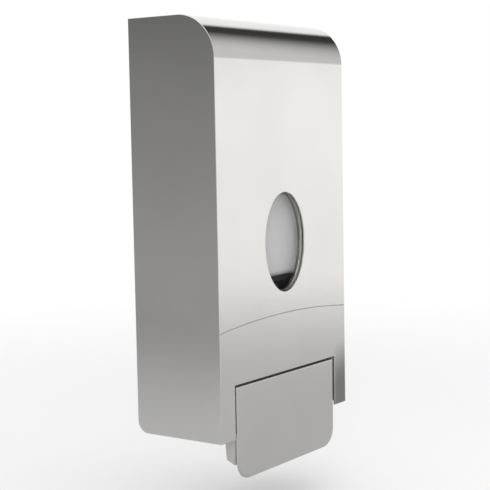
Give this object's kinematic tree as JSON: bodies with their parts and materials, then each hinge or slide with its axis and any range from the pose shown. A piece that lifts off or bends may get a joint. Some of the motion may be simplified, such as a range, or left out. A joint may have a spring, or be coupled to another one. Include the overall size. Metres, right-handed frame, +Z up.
{
  "type": "wall-mounted lever soap dispenser",
  "caption": "Wall-mounted steel soap dispenser with an oval level window, a push lever, a piston pump, a refillable tank and a lockable hinged cover.",
  "frame": {"origin": "on the wall, in the middle of the four wall holes", "axes": "+X to the right seen from the front, +Y into the wall, +Z up"},
  "size_m": [0.15, 0.068, 0.296],
  "materials": {
    "satin_steel": "satin",
    "plate_steel": "satin",
    "zinc_steel": "zinc plated",
    "fastener_steel": "turned",
    "spring_steel": "drawn wire",
    "ball_steel": "polished",
    "lock_chrome": "satin chrome",
    "rivet_alloy": "bare",
    "lever_plastic": "moulded grey",
    "grey_plastic": "moulded grey",
    "black_plastic": "moulded black",
    "dark_plastic": "moulded dark grey",
    "pump_plastic": "moulded natural",
    "tank_plastic": "moulded translucent",
    "clear_plastic": "clear",
    "black_rubber": "moulded",
    "valve_rubber": "moulded silicone"
  },
  "bodies": {
    "base": {"back_plate": "zinc_steel", "lock_keeper": "zinc_steel", "keeper_rivets": "rivet_alloy", "pump_bracket": "black_plastic", "bracket_screws": "fastener_steel", "tank": "tank_plastic", "tank_lid": "dark_plastic", "lid_gasket": "black_rubber", "vent_valve": "black_rubber", "union_nut": "black_plastic", "neck_seal": "black_rubber", "pump_cylinder": "pump_plastic", "inlet_seat": "pump_plastic", "inlet_ball": "ball_steel", "pump_gland": "black_plastic", "return_spring": "spring_steel"},
    "piston": {"plunger": "pump_plastic", "piston_seal": "black_rubber", "nozzle": "black_plastic", "outlet_valve": "valve_rubber"},
    "cover": {"cover_shell": "satin_steel", "cover_studs": "fastener_steel", "cover_frame": "grey_plastic", "stud_nuts": "fastener_steel", "window_lens": "clear_plastic", "window_ring": "pump_plastic", "hinge_pins": "fastener_steel", "lever_pins": "fastener_steel", "lock_housing": "lock_chrome", "lock_nut": "lock_chrome"},
    "lock": {"lock_plug": "lock_chrome", "lock_cam": "zinc_steel", "cam_screw": "fastener_steel"},
    "lever": {"lever_body": "lever_plastic", "lever_plate": "plate_steel", "plate_studs": "fastener_steel"}
  },
  "joints": [
    {"name": "cover_hinge", "type": "hinge", "parent": "base", "child": "cover", "pos_m": [0, -0.0085, -0.145], "axis": [1, 0, 0], "range_deg": [0, 60]},
    {"name": "lever_push", "type": "hinge", "parent": "cover", "child": "lever", "pos_m": [0, -0.06, -0.124], "axis": [1, 0, 0], "range_deg": [0, 16], "stiffness_Nm_per_rad": 0.3, "springref_deg": -17.19},
    {"name": "pump_stroke", "type": "slide", "parent": "base", "child": "piston", "axis": [0, 0, 1], "range_m": [0, 0.0068], "deforming": ["return_spring"]},
    {"name": "lock_turn", "type": "hinge", "parent": "cover", "child": "lock", "pos_m": [0, -0.022, 0.114], "axis": [0, 0, -1], "range_deg": [0, 90]}
  ],
  "couplings": [
    {"joint": "pump_stroke", "follows": "lever_push", "m_per_rad": 0.024}
  ]
}
